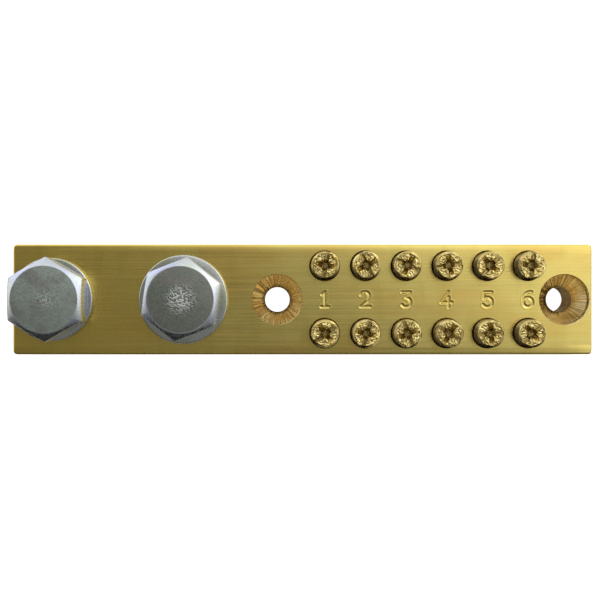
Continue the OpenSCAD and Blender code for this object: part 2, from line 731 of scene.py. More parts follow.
@dataclass(frozen=True)
class TurnedBrass:
    """Bright brass from a screw machine, with a fine grain."""

    bright: Colour = (0.90, 0.72, 0.30)
    shade: Colour = (0.72, 0.53, 0.18)

    def build(self) -> bpy.types.Material:
        """Build the material.

        Returns:
            The material.
        """
        recipe = Recipe("turned_brass")
        grain = recipe.noise((2600, 2600, 2600), 3.0)
        patches = recipe.noise((520, 520, 520), 2.0)
        colour = recipe.mix(recipe.spread(patches, 0.42, 0.68), self.bright, self.shade)
        dents = recipe.noise((1500, 1500, 1500), 1.0, (0.3, 0.3, 0.3))
        roughness = recipe.spread(grain, 0.3, 0.7, (0.12, 0.22))
        normal = recipe.bump(dents, 0.09 * MM)
        normal = recipe.bump(grain, 0.012 * MM, normal)
        return recipe.finish(colour, roughness, normal)


@dataclass(frozen=True)
class ScrewBrass:
    """Screw brass that is bright on its end and darker further down, with grime and painted shade
    in the recess and down the flank.
    """

    top: float
    bright: Colour = (0.90, 0.73, 0.30)
    olive: Colour = (0.70, 0.54, 0.18)
    # Grime and painted shade: the colour the screw darkens to below its end face
    grime_and_shade: Colour = (0.36, 0.27, 0.10)
    grime_and_shade_start: float = 0.15 * MM
    grime_and_shade_end: float = 1.3 * MM

    def build(self) -> bpy.types.Material:
        """Build the material.

        Returns:
            The material.
        """
        recipe = Recipe("screw_brass")
        grain = recipe.noise((2600, 2600, 2600), 3.0)
        patches = recipe.noise((900, 900, 900), 2.0, (0.1, 0.3, 0.0))
        height = recipe.node("ShaderNodeSeparateXYZ")
        recipe.link(recipe.coordinates, height.inputs[0])
        # Grime and painted shade: the colour darkens with depth below the end face, in the recess
        # and down the flank
        ends = (self.top - self.grime_and_shade_end, self.top - self.grime_and_shade_start)
        grime_and_shade_mask = recipe.spread(height.outputs["Z"], *ends, (1.0, 0.0))
        colour = recipe.mix(recipe.spread(patches, 0.38, 0.62), self.bright, self.olive)
        colour = recipe.mix(grime_and_shade_mask, colour, self.grime_and_shade)
        roughness = recipe.spread(grain, 0.3, 0.7, (0.14, 0.26))
        normal = recipe.bump(grain, 0.02 * MM)
        return recipe.finish(colour, roughness, normal)


@dataclass(frozen=True)
class ZincPlate:
    """Zinc plating with a bluish passivation and a fine grain."""

    name: str
    clean_zinc: Colour = (0.72, 0.76, 0.76)
    blue_tint: Colour = (0.60, 0.64, 0.80)
    green_tint: Colour = (0.62, 0.70, 0.60)
    roughness: Point = (0.24, 0.36)
    grain_depth: float = 0.01 * MM

    def build(self) -> bpy.types.Material:
        """Build the material.

        Returns:
            The material.
        """
        recipe = Recipe(self.name)
        grain = recipe.noise((3400, 3400, 3400), 3.0)
        blue = recipe.spread(recipe.noise((150, 150, 150), 1.0), 0.45, 0.65)
        green = recipe.spread(recipe.noise((190, 190, 190), 1.0, (0.2, 0.4, 0.1)), 0.5, 0.7)
        colour = recipe.mix(blue, self.clean_zinc, self.blue_tint)
        colour = recipe.mix(green, colour, self.green_tint)
        roughness = recipe.spread(grain, 0.3, 0.7, self.roughness)
        normal = recipe.bump(grain, self.grain_depth)
        return recipe.finish(colour, roughness, normal)


@dataclass(frozen=True)
class WasherZinc(ZincPlate):
    """The washers' zinc, with less blue in it and a little smoother."""

    clean_zinc: Colour = (0.68, 0.70, 0.64)
    blue_tint: Colour = (0.60, 0.63, 0.66)
    green_tint: Colour = (0.58, 0.62, 0.48)
    roughness: Point = (0.16, 0.26)


@dataclass(frozen=True)
class DullZinc:
    """The flat top of a forged head: dull zinc, with a rough patch in the middle."""

    name: str
    centre: Point
    patch_radius: float
    patch_share: float
    base: Colour = (0.52, 0.60, 0.53)
    brown_tint: Colour = (0.42, 0.42, 0.38)
    pale: Colour = (0.86, 0.90, 0.89)

    def build(self) -> bpy.types.Material:
        """Build the material.

        Returns:
            The material.
        """
        recipe = Recipe(self.name)
        centre = (*self.centre, 0.0)
        grain = recipe.noise((2800, 2800, 2800), 4.0, centre)
        clouds = recipe.noise((230, 230, 230), 2.0, centre)
        length = recipe.node("ShaderNodeVectorMath", operation="LENGTH")
        recipe.link(recipe.mapped((1, 1, 0), centre), length.inputs[0])
        near = recipe.spread(length.outputs["Value"], self.patch_radius, 0.0)
        rough_patch = recipe.maths("MULTIPLY", near, recipe.spread(grain, 0.44, 0.6))
        rough_patch = recipe.maths("MULTIPLY", rough_patch, self.patch_share)
        colour = recipe.mix(recipe.spread(clouds, 0.42, 0.66), self.base, self.brown_tint)
        colour = recipe.mix(rough_patch, colour, self.pale)
        roughness = recipe.spread(grain, 0.3, 0.7, (0.34, 0.48))
        normal = recipe.bump(grain, 0.02 * MM)
        normal = recipe.bump(rough_patch, 0.08 * MM, normal)
        return recipe.finish(colour, roughness, normal)


@dataclass(frozen=True)
class DarkZinc(DullZinc):
    """The duller top of the right head."""

    base: Colour = (0.30, 0.33, 0.28)
    brown_tint: Colour = (0.36, 0.35, 0.31)


# --------------------------------------------------------------------- pieces


@dataclass
class Thread:
    """A right-hand thread, as a rod long enough to be cut to length."""

    major: float
    minor: float
    pitch: float
    segments: int = 36

    def rod(self, name: str, low: float, high: float) -> bpy.types.Object:
        """Wind the thread's profile into a closed rod.

        Args:
            name: The object's name.
            low: Height of the rod's foot, in metres.
            high: Height of the rod's top.

        Returns:
            The rod, on the Z axis.
        """
        start = low - 2 * self.pitch
        turns = math.ceil((high - low) / self.pitch) + 4
        shares = ((self.minor, 0), (self.minor, 0.25), (self.major, 0.5625))
        shares += ((self.major, 0.6875), (self.minor, 1))
        profile = [(radius, start + share * self.pitch) for radius, share in shares]
        rod = polyline(name, profile)
        apply_modifier(
            rod,
            "SCREW",
            axis="Z",
            angle=math.tau,
            screw_offset=self.pitch,
            iterations=turns,
            steps=self.segments,
            render_steps=self.segments,
            use_merge_vertices=False,
        )
        with editing(rod, everything=True):
            bpy.ops.mesh.remove_doubles(threshold=MERGE)
        self._cut(rod, low, clear_inner=True)
        self._cut(rod, high, clear_inner=False)
        clean(rod)
        return rod

    def _cut(self, rod: bpy.types.Object, height: float, clear_inner: bool) -> None:
        """Cut the rod square at a height and close it there.

        Args:
            rod: The rod.
            height: Height of the cut.
            clear_inner: Whether what is below goes, or else what is above.
        """
        with editing(rod, everything=True):
            bpy.ops.mesh.bisect(
                plane_co=(0, 0, height),
                plane_no=(0, 0, 1),
                use_fill=True,
                clear_inner=clear_inner,
                clear_outer=not clear_inner,
            )


@dataclass
class StampedDigit:
    """One way number, struck into a fine patch of the top face.

    Strokes are in shares of the digit's height from its middle.
    """

    number: int
    height: float = 3.0 * MM
    half_width: float = 0.29 * MM
    depth: float = 0.13 * MM
    burr: float = 0.012 * MM
    burr_reach: float = 0.3 * MM

    def strokes(self) -> list[list[Point]]:
        """Give the strokes of the digit.

        Returns:
            A list of points for each stroke.
        """
        shapes = {
            1: [[(-0.16, 0.3), (0.02, 0.46), (0.02, -0.44)], [(-0.2, -0.45), (0.24, -0.45)]],
            2: [
                arc((-0.02, 0.2), 0.26, 165, -30)
                + [(0.14, -0.08), (-0.28, -0.44), (0.3, -0.44)]
            ],
            3: [[(-0.24, 0.44), (0.26, 0.44), (0.0, 0.12)] + arc((0.0, -0.18), 0.28, 85, -150)],
            4: [[(0.1, 0.48), (-0.34, -0.18), (0.32, -0.18)], [(0.12, 0.14), (0.12, -0.48)]],
            5: [[(0.26, 0.44), (-0.18, 0.44), (-0.22, 0.06)] + arc((0.0, -0.17), 0.29, 130, -150)],
            6: [arc((0.14, 0.04), 0.42, 80, 175) + arc((0.0, -0.17), 0.28, 175, -185)],
        }
        return shapes[self.number]

    def drop(self, right: float, up: float) -> float:
        """Say how deep the face is struck at a place.

        Args:
            right: Distance to the right of the digit's middle, in metres.
            up: Distance above its middle.

        Returns:
            The depth, below 0 where the metal is thrown up beside a stroke.
        """
        spot = Vector((right, up)) / self.height
        gaps = [
            gap_to(spot, Vector(start), Vector(end))
            for stroke in self.strokes()
            for start, end in pairwise(stroke)
        ]
        reach = min(gaps) * self.height / self.half_width
        if reach < 1:
            return self.depth * math.sqrt(1 - reach * reach) ** 1.5
        beyond = min(1.0, (reach - 1) * self.half_width / self.burr_reach)
        return -self.burr * math.sin(math.pi * beyond) ** 2


def gap_to(spot: Vector, start: Vector, end: Vector) -> float:
    """Give the distance from a point to a straight stroke.

    Args:
        spot: The point.
        start: One end of the stroke.
        end: The other end.

    Returns:
        The distance.
    """
    along = end - start
    share = (spot - start).dot(along) / along.length_squared
    return (spot - start - along * min(1.0, max(0.0, share))).length


def arc(centre: Point, radius: float, first: float, last: float) -> list[Point]:
    """Give points along an arc, about one for each 20 degrees.

    Args:
        centre: The arc's centre.
        radius: Its radius.
        first: The angle where it starts, in degrees.
        last: The angle where it ends.

    Returns:
        The points.
    """
    steps = max(2, round(abs(last - first) / 20))
    angles = [math.radians(first + (last - first) * step / steps) for step in range(steps + 1)]
    return [(centre[0] + radius * math.cos(a), centre[1] + radius * math.sin(a)) for a in angles]


@dataclass
class EarthBar:
    """The brass bar with its holes, threads and numbers."""

    record: dict
    corner_radius: float = 0.7 * MM
    edge_radius: float = 0.35 * MM
    roll_width: float = 1.4 * MM
    roll_drop: float = 0.05 * MM
    roll_steps: int = 4
    patch: float = 3.6 * MM
    patch_cuts: int = 59
    recess_radius: float = 4.5 * MM
    recess_depth: float = 1.5 * MM
    mouth_chamfer: float = 0.25 * MM
    cable_chamfer: float = 0.3 * MM
    thread_room: float = 0.05 * MM
    low: Vector = field(init=False)
    high: Vector = field(init=False)

    def __post_init__(self) -> None:
        """Take the bar's corners from the frame."""
        self.low, self.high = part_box("bar")

    def mount(self, name: str) -> dict:
        """Give one of the record's mounts by its name."""
        return next(m for m in self.record["mounts"] if m["name"] == name)

    def ways(self) -> list[dict]:
        """Give the mounts of the cable holes, in order."""
        return [m for m in self.record["mounts"] if m["name"].startswith("cable_hole_")]

    def build(self, bolt_thread: Thread, screw_thread: Thread, finishes: Finishes) -> None:
        """Build the bar and hand it over.

        Args:
            bolt_thread: The thread of the main bolts.
            screw_thread: The thread of the clamp screws.
            finishes: The materials.
        """
        bar = self._blank()
        dress(bar, finishes.drawn, finishes.sawn)
        self._dress_ends(bar)
        for cutters in self._cutters(bolt_thread, screw_thread, finishes):
            combine(bar, merged(cutters), Cut.TAKE_AWAY)
        clean(bar)
        for way in self.ways():
            self._strike(bar, way)
        smooth(bar, 40)
        with editing(bar):
            select_faces(bar, lambda f: self._is_top(f) and f.normal.z > 1 - 1e-6)
            bpy.ops.mesh.faces_shade_flat()
        bar.name = "brass_bar"
        hand_over(bar, "bar")

    def _blank(self) -> bpy.types.Object:
        """Make the drawn bar with soft corners and edges.

        Returns:
            The bar, before it is drilled.
        """
        bar = block("brass_bar", self.low, self.high)
        with editing(bar):
            select_edges(bar, lambda e: abs((e.verts[0].co - e.verts[1].co).z) > MM)
            bpy.ops.mesh.bevel(offset=self.corner_radius, segments=6, affect="EDGES")
            select_edges(bar, self._is_rim)
            bpy.ops.mesh.bevel(offset=self.edge_radius, segments=4, affect="EDGES")
        for side in (-1, 1):
            self._roll(bar, side)
            self._score(bar, 0, side * self.patch / 2, (0, 1, 0))
            for way in self.ways():
                self._score(bar, way["pos_m"][0] + side * self.patch / 2, 0, (1, 0, 0))
        for side in Side:
            fixing_hole = self.mount(f"fixing_hole_{side.word}")
            self._score(bar, fixing_hole["pos_m"][0], 0, (1, 0, 0))
            self._score(bar, axis_of(f"washer_{side.word}").x, 0, (1, 0, 0))
        return bar

    def _is_rim(self, edge: bmesh.types.BMEdge) -> bool:
        """Say whether an edge runs round the top or the back face."""
        heights = [v.co.z for v in edge.verts]
        flat = abs(heights[0] - heights[1]) < MERGE
        return flat and min(abs(heights[0] - z) for z in (self.low.z, self.high.z)) < MERGE

    def _is_top(self, face: bmesh.types.BMFace) -> bool:
        """Say whether a face is part of the flat top."""
        return face.calc_center_median().z > self.high.z - MERGE and face.normal.z > 0

    def _score(
        self, bar: bpy.types.Object, right: float, back: float, normal: Sequence[float]
    ) -> None:
        """Divide the bar's faces along an upright plane, so that no face goes round a hole.

        Args:
            bar: The bar.
            right: The plane's place along the bar.
            back: Its place across the bar.
            normal: Its normal.
        """
        with editing(bar, everything=True):
            bpy.ops.mesh.bisect(plane_co=(right, back, 0), plane_no=normal)

    def _roll(self, bar: bpy.types.Object, side: int) -> None:
        """Let the top face fall away a little towards one long edge.

        Args:
            bar: The bar.
            side: -1 for the front edge or 1 for the rear edge.
        """
        start = self.high.y - self.edge_radius - self.roll_width
        for step in range(self.roll_steps):
            line = start + self.roll_width * step / self.roll_steps
            with editing(bar, everything=True):
                bpy.ops.mesh.bisect(plane_co=(0, side * line, 0), plane_no=(0, 1, 0))
            share = (2 * step + 1) / self.roll_steps**2
            with editing(bar):
                select_verts(bar, lambda co, line=line: self._is_beyond(co, side, line))
                bpy.ops.transform.translate(value=(0, 0, -self.roll_drop * share))

    def _is_beyond(self, spot: Vector, side: int, line: float) -> bool:
        """Say whether a point is on top and nearer to a long edge than a line."""
        return side * spot.y > line + MERGE and spot.z > (self.low.z + self.high.z) / 2

    def _dress_ends(self, bar: bpy.types.Object) -> None:
        """Give the two sawn ends their own finish."""
        for face in bar.data.polygons:
            if abs(face.normal.x) > 0.9:
                face.material_index = 1

    def _strike(self, bar: bpy.types.Object, way: dict) -> None:
        """Strike one way's number into its patch of the top face.

        Args:
            bar: The bar.
            way: The mount of the way's cable hole.
        """
        digit = StampedDigit(self.ways().index(way) + 1)
        middle = way["pos_m"][0]
        half = self.patch / 2
        with editing(bar):
            select_faces(
                bar,
                lambda f: self._is_top(f)
                and abs(f.calc_center_median().x - middle) < half
                and abs(f.calc_center_median().y) < half,
            )
            bpy.ops.mesh.subdivide(number_cuts=self.patch_cuts, quadcorner="INNERVERT")
        for vert in bar.data.vertices:
            right, up = vert.co.x - middle, vert.co.y
            inside = max(abs(right), abs(up)) < half - MERGE
            if inside and abs(vert.co.z - self.high.z) < MERGE:
                vert.co.z -= digit.drop(right, up)

    def _cutters(
        self, bolt_thread: Thread, screw_thread: Thread, finishes: Finishes
    ) -> Iterator[list[bpy.types.Object]]:
        """Make the shapes that are taken out of the bar.

        Args:
            bolt_thread: The thread of the main bolts.
            screw_thread: The thread of the clamp screws.
            finishes: The materials.

        Yields:
            A list of closed shapes that are clear of each other.
        """
        yield [
            self._fixing_hole(self.mount(f"fixing_hole_{side.word}"), finishes.recess(side))
            for side in Side
        ]
        yield [self._cable_hole(way, finishes.turned) for way in self.ways()]
        cable_z = self.ways()[0]["pos_m"][2]
        tap = self._tapped_hole(bolt_thread, self.low.z - OVER, finishes.turned)
        yield self._copies(tap, [f"washer_{side.word}" for side in Side])
        tap = self._tapped_hole(screw_thread, cable_z, finishes.turned)
        numbers = range(1, len(self.ways()) + 1)
        yield self._copies(tap, [f"clamp_screw_{row.value}_{n}" for row in Row for n in numbers])

    def _copies(self, cutter: bpy.types.Object, nodes: Sequence[str]) -> list[bpy.types.Object]:
        """Put a copy of a cutter on the axis of each node, and drop the first.

        Args:
            cutter: The cutter, on the Z axis.
            nodes: The nodes that turn in the holes.

        Returns:
            The copies.
        """
        copies = []
        for node in nodes:
            copies.append(copy_of(cutter, f"{cutter.name}_{node}", place(axis_of(node))))
        bpy.data.objects.remove(cutter)
        return copies

    def _fixing_hole(self, mount: dict, material: bpy.types.Material) -> bpy.types.Object:
        """Make the clearance hole, countersink and recess of a fixing screw."""
        spot = Vector(mount["pos_m"])
        shoulder = self.high.z - self.recess_depth
        radius = mount["dims"]["r_mm"] * MM
        throat = shoulder - (self.recess_radius - radius)
        rim = self.recess_radius + self.mouth_chamfer / 2
        profile = [
            (0, self.low.z - OVER),
            (radius, self.low.z - OVER),
            (radius, throat),
            (self.recess_radius, shoulder),
            (self.recess_radius, self.high.z - self.mouth_chamfer / 2),
            (rim, self.high.z),
            (rim, self.high.z + OVER),
            (0, self.high.z + OVER),
        ]
        cutter = lathe("fixing_hole", profile)
        dress(cutter, material)
        return moved(cutter, place(Vector((spot.x, spot.y, 0))))

    def _cable_hole(self, way: dict, material: bpy.types.Material) -> bpy.types.Object:
        """Make a cable hole with a chamfer at each mouth."""
        spot = Vector(way["pos_m"])
        radius = self.ways()[0]["dims"]["r_mm"] * MM
        half = self.high.y
        wide = radius + self.cable_chamfer
        outer = half + OVER
        profile = [(0, -outer), (wide, -outer), (wide, -half), (radius, self.cable_chamfer - half)]
        profile += [(r, -z) for r, z in reversed(profile)]
        cutter = lathe("cable_hole", profile, 64)
        dress(cutter, material)
        turn = Matrix.Rotation(math.pi / 2, 4, "X")
        return moved(cutter, Matrix.Translation(Vector((spot.x, 0, spot.z))) @ turn)

    def _tapped_hole(
        self, thread: Thread, foot: float, material: bpy.types.Material
    ) -> bpy.types.Object:
        """Make a threaded hole on the Z axis, with a chamfer at its mouth.

        Args:
            thread: The thread of the screw that turns in it.
            foot: Height of the cutter's foot.
            material: The finish of the hole's wall.

        Returns:
            The cutter.
        """
        room = Thread(
            thread.major + self.thread_room, thread.minor + self.thread_room, thread.pitch
        )
        rod = room.rod("tap", foot, self.high.z + OVER)
        mouth = self.high.z - self.mouth_chamfer - (room.major - room.minor)
        wide = room.major + self.mouth_chamfer
        profile = [(0, mouth), (room.minor, mouth), (wide, self.high.z)]
        profile += [(wide, self.high.z + 2 * OVER), (0, self.high.z + 2 * OVER)]
        combine(rod, lathe("mouth", profile, thread.segments * 2), Cut.ADD)
        dress(rod, material)
        return rod


def moved(obj: bpy.types.Object, matrix: Matrix) -> bpy.types.Object:
    """Put a move into an object's mesh and give the object back."""
    obj.matrix_world = matrix
    settle(obj)
    return obj


@dataclass
class MainBolt:
    """A hexagon bolt with its thread, for a main earth conductor.

    Its heights are measured from the face that it seats on.
    """

    side: Side
    thread: Thread
    across_flats: float = 13.0 * MM
    head_top_radius: float = 5.9 * MM
    seat_radius: float = 5.8 * MM
    seat_height: float = 0.3 * MM
    chamfer: float = 30.0
    edge_width: float = 0.12 * MM
    edge_angle: float = 24.0
    tip: float = 0.8 * MM

    def build(self, finishes: Finishes) -> None:
        """Build the bolt and hand it over.

        Args:
            finishes: The materials.
        """
        node = f"bolt_{self.side.word}"
        low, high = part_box(node)
        spot = axis_of(f"washer_{self.side.word}")
        spot.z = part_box(f"washer_{self.side.word}")[1].z
        head = self._head(high.z - spot.z)
        dress(head, finishes.plate, finishes.disc(self.side))
        self._dress_disc(head, high.z - spot.z)
        shank = self._shank(low.z - spot.z)
        dress(shank, finishes.plate)
        combine(head, shank, Cut.ADD)
        clean(head)
        smooth(head, 22)
        bolt = moved(head, place(spot))
        bolt.name = f"main_bolt_{self.side.word}"
        hand_over(bolt, node)

    def _head(self, height: float) -> bpy.types.Object:
        """Make the hexagon with its chamfered top and its washer face.

        Args:
            height: The head's height.

        Returns:
            The head, with its seat at height 0.
        """
        corner = self.across_flats / 2 / math.cos(math.radians(30))
        depth = height - self.seat_height
        middle = (0, 0, self.seat_height + depth / 2)
        bpy.ops.object.select_all(action="DESELECT")
        bpy.ops.mesh.primitive_cylinder_add(
            vertices=6, radius=corner, depth=depth, location=middle
        )
        head = bpy.context.object
        settle(head)
        head = moved(head, place(Vector((0, 0, 0)), -self.side.turn))
        outer = corner + OVER
        fall = math.tan(math.radians(self.chamfer))
        brim = height - (outer - self.head_top_radius) * fall
        profile = [(0, -OVER), (outer, -OVER), (outer, brim)]
        profile += [(self.head_top_radius, height), (0, height)]
        combine(head, lathe("envelope", profile, 144), Cut.KEEP_SHARED)
        clean(head)
        apply_modifier(
            head,
            "BEVEL",
            width=self.edge_width,
            segments=2,
            limit_method="ANGLE",
            angle_limit=math.radians(self.edge_angle),
        )
        inside = self.seat_height * 1.5
        profile = [(0, 0), (self.seat_radius, 0), (self.seat_radius, inside), (0, inside)]
        combine(head, lathe("seat", profile), Cut.ADD)
        clean(head)
        return head

    def _dress_disc(self, head: bpy.types.Object, height: float) -> None:
        """Give the flat top its own finish.

        Args:
            head: The head.
            height: Height of its top.
        """
        for face in head.data.polygons:
            if face.center.z > height - MERGE and face.normal.z > 0:
                face.material_index = 1

    def _shank(self, foot: float) -> bpy.types.Object:
        """Make the threaded shank below the head.

        Args:
            foot: Height of the tip, below the seat.

        Returns:
            The shank.
        """
        shank = self.thread.rod("shank", foot, self.seat_height)
        radius = self.thread.major
        outer = radius + OVER
        profile = [(0, foot), (radius - self.tip, foot), (outer, foot + self.tip + OVER)]
        profile += [(outer, OVER), (0, OVER)]
        combine(shank, lathe("tip", profile), Cut.KEEP_SHARED)
        return shank


@dataclass
class Washer:
    """A plain washer with rounded edges."""

    side: Side
    bore_radius: float = 4.2 * MM
    edge: float = 0.25 * MM

    def build(self, finishes: Finishes) -> None:
        """Build the washer and hand it over.

        Args:
            finishes: The materials.
        """
        node = f"washer_{self.side.word}"
        low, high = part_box(node)
        radius = (high.x - low.x) / 2
        ring = [(self.bore_radius, low.z), (radius, low.z), (radius, high.z)]
        ring += [(self.bore_radius, high.z), (self.bore_radius, low.z)]
        washer = lathe("washer", ring, 128)
        apply_modifier(washer, "BEVEL", width=self.edge, segments=3, limit_method="ANGLE")
        washer = moved(washer, place(axis_of(node)))
        dress(washer, finishes.washer)
        smooth(washer)
        washer.name = f"plain_washer_{self.side.word}"
        hand_over(washer, node)


@dataclass
class ClampScrew:
    """A headless brass screw with a driver recess, modelled once and copied.

    Its end face is torn and uneven inside a clean rim.
    """

    thread: Thread
    rim: float = 0.25 * MM
    tip: float = 0.5 * MM
    slot_width: float = 0.8 * MM
    slot_depth: float = 0.9 * MM
    cross_reach: float = 1.95 * MM
    cross_width: float = 0.95 * MM
    cross_depth: float = 1.5 * MM
    flute_width: float = 0.4 * MM
    flute_reach: float = 1.4 * MM
    flute_depth: float = 1.1 * MM
    socket_radius: float = 0.95 * MM
    drill_radius: float = 0.7 * MM
    drill_depth: float = 1.0 * MM
    drill_point: float = 0.42 * MM
    tear_radius: float = 2.08 * MM
    tear_depth: float = 0.15 * MM
    tear_cuts: int = 24
    arm_cuts: int = 6
    arm_tear: float = 0.07 * MM
    turn_step: float = 37.0

    def build_all(self, ways: int, finishes: Finishes) -> None:
        """Build the screw once and put a copy at each node.

        Args:
            ways: Number of ways.
            finishes: The materials.
        """
        low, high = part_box("clamp_screw_front_1")
        master = self._master(high.z - low.z)
        dress(master, finishes.screw)
        smooth(master, 14)
        nodes = [f"clamp_screw_{row.value}_{way + 1}" for row in Row for way in range(ways)]
        for order, node in enumerate(nodes, start=1):
            spot = axis_of(node)
            spot.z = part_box(node)[0].z
            name = node.removeprefix("clamp_")
            screw = copy_of(master, name, place(spot, self.turn_step * order))
            hand_over(screw, node)
        bpy.data.objects.remove(master)

    def _master(self, length: float) -> bpy.types.Object:
        """Make the screw on the Z axis, with its tip at height 0.

        Args:
            length: The screw's length.

        Returns:
            The screw.
        """
        screw = self.thread.rod("screw", 0.0, length)
        radius = self.thread.major
        profile = [(0, 0), (radius - self.tip, 0), (radius, self.tip)]
        profile += [(radius, length - self.rim), (radius - self.rim, length), (0, length)]
        combine(screw, lathe("envelope", profile), Cut.KEEP_SHARED)
        for cutter in self._recess(length):
            combine(screw, cutter, Cut.TAKE_AWAY)
        clean(screw)
        return screw

    def _recess(self, top: float) -> Iterator[bpy.types.Object]:
        """Make the shapes that are taken out of the driven end.

        Args:
            top: Height of the end face.

        Yields:
            One closed shape after another.
        """
        yield self._tear(top)
        far = self.thread.major + OVER
        low = Vector((-far, -self.slot_width / 2, top - self.slot_depth))
        slot = block("slot", low, Vector((far, self.slot_width / 2, top + OVER)))
        yield self._ragged(slot)
        for angle in (0, 90):
            yield self._arm(top, angle, self.cross_width, self.cross_reach, self.cross_depth)
        for angle in (45, 135):
            yield self._arm(top, angle, self.flute_width, self.flute_reach, self.flute_depth)
        floor = top - self.drill_depth
        profile = [(0, floor - self.drill_point), (self.drill_radius, floor)]
        profile += [(self.socket_radius, top), (self.socket_radius, top + OVER), (0, top + OVER)]
        yield lathe("socket", profile, 48)

    def _tear(self, top: float) -> bpy.types.Object:
        """Make the shape that leaves the end face uneven inside its rim.

        Args:
            top: Height of the end face.

        Returns:
            A round block with a crumpled foot.
        """
        half = self.tear_radius + OVER
        foot = top - self.tear_depth
        tear = block("tear", Vector((-half, -half, foot)), Vector((half, half, top + OVER)))
        with editing(tear):
            select_faces(tear, lambda f: f.normal.z < -0.5)
            bpy.ops.mesh.subdivide(number_cuts=self.tear_cuts)
            bpy.ops.mesh.quads_convert_to_tris(quad_method="FIXED")
            bpy.ops.transform.vertex_random(offset=self.tear_depth, seed=5)
        profile = [(0, foot - OVER), (self.tear_radius, foot - OVER)]
        profile += [(self.tear_radius, top + 2 * OVER), (0, top + 2 * OVER)]
        combine(tear, lathe("round", profile, 64), Cut.KEEP_SHARED)
        return tear

    def _arm(
        self, top: float, angle: float, width: float, reach: float, depth: float
    ) -> bpy.types.Object:
        """Make one crossing arm that narrows downwards.

        Args:
            top: Height of the end face.
            angle: The arm's turn, in degrees.
            width: Its width.
            reach: How far it runs from the axis.
            depth: Its depth.

        Returns:
            The arm.
        """
        foot = top - depth
        arm = block("arm", Vector((-reach, -width / 2, foot)), Vector((reach, width / 2, top)))
        with editing(arm):
            select_faces(arm, lambda f: f.normal.z < -0.5)
            bpy.ops.transform.resize(
                value=(width / 2 / reach, 0.8, 1), center_override=(0, 0, foot)
            )
            select_faces(arm, lambda f: f.normal.z > 0.5)
            bpy.ops.mesh.extrude_region_move(TRANSFORM_OT_translate={"value": (0, 0, OVER)})
        return moved(self._ragged(arm), place(Vector((0, 0, 0)), angle))

    def _ragged(self, cutter: bpy.types.Object) -> bpy.types.Object:
        """Make the walls of a cutter uneven and give it back."""
        with editing(cutter, everything=True):
            bpy.ops.mesh.subdivide(number_cuts=self.arm_cuts)
            bpy.ops.mesh.select_all(action="SELECT")
            bpy.ops.transform.vertex_random(offset=self.arm_tear, seed=8)
            bpy.ops.mesh.quads_convert_to_tris(quad_method="FIXED")
        return cutter


@dataclass
class Finishes:
    """All the materials, built once."""

    record: dict

    def __post_init__(self) -> None:
        """Build each finish."""
        self.drawn = DrawnBrass().build()
        self.sawn = SawnBrass().build()
        self.turned = TurnedBrass().build()
        self.screw = ScrewBrass(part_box("clamp_screw_front_1")[1].z).build()
        self.plate = ZincPlate("zinc_plate").build()
        self.washer = WasherZinc("washer_zinc_plate").build()
        self._recesses = {
            side: MachinedBrass(f"machined_brass_{side.word}", self._spot(side)).build()
            for side in Side
        }
        left, right = axis_of("washer_left").xy, axis_of("washer_right").xy
        self._discs = {
            Side.LEFT: DullZinc("head_zinc_left", tuple(left), 3.0 * MM, 0.25).build(),
            Side.RIGHT: DarkZinc("head_zinc_right", tuple(right), 3.4 * MM, 1.0).build(),
        }

    def _spot(self, side: Side) -> Point:
        """Give the place of one fixing hole in the plan."""
        name = f"fixing_hole_{side.word}"
        mount = next(m for m in self.record["mounts"] if m["name"] == name)
        return mount["pos_m"][0], mount["pos_m"][1]

    def recess(self, side: Side) -> bpy.types.Material:
        """Give the finish of one fixing hole."""
        return self._recesses[side]

    def disc(self, side: Side) -> bpy.types.Material:
        """Give the finish of the flat top of one bolt."""
        return self._discs[side]


# --------------------------------------------------------------------- studio


